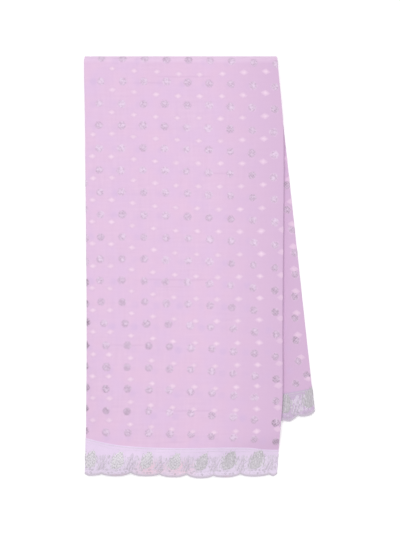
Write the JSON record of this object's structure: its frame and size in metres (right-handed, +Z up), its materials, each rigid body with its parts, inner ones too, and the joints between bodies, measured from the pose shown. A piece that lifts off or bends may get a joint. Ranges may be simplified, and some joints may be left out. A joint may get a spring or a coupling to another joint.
{
  "type": "folded saree",
  "caption": "Saree pleated into a narrow strip and folded once over, its back fall leaning out beside the front one, with scalloped embroidered borders.",
  "frame": {"origin": "on the surface that it lies on, under the middle of its box", "axes": "+X to the right of the front fall, +Y up the front fall to the fold, +Z up from the surface"},
  "size_m": [0.324, 0.592, 0.0193],
  "materials": {
    "body_cloth": "fine semi-sheer weave with a soft sheen",
    "border_cloth": "embroidered net-like weave, matt with silvery thread"
  },
  "bodies": {
    "root": {"front_fall": "body_cloth", "back_fall": "body_cloth", "inner_layers": "body_cloth", "front_border": "border_cloth", "back_border": "border_cloth", "front_border_layers": "border_cloth", "back_border_layers": "border_cloth"}
  },
  "joints": []
}
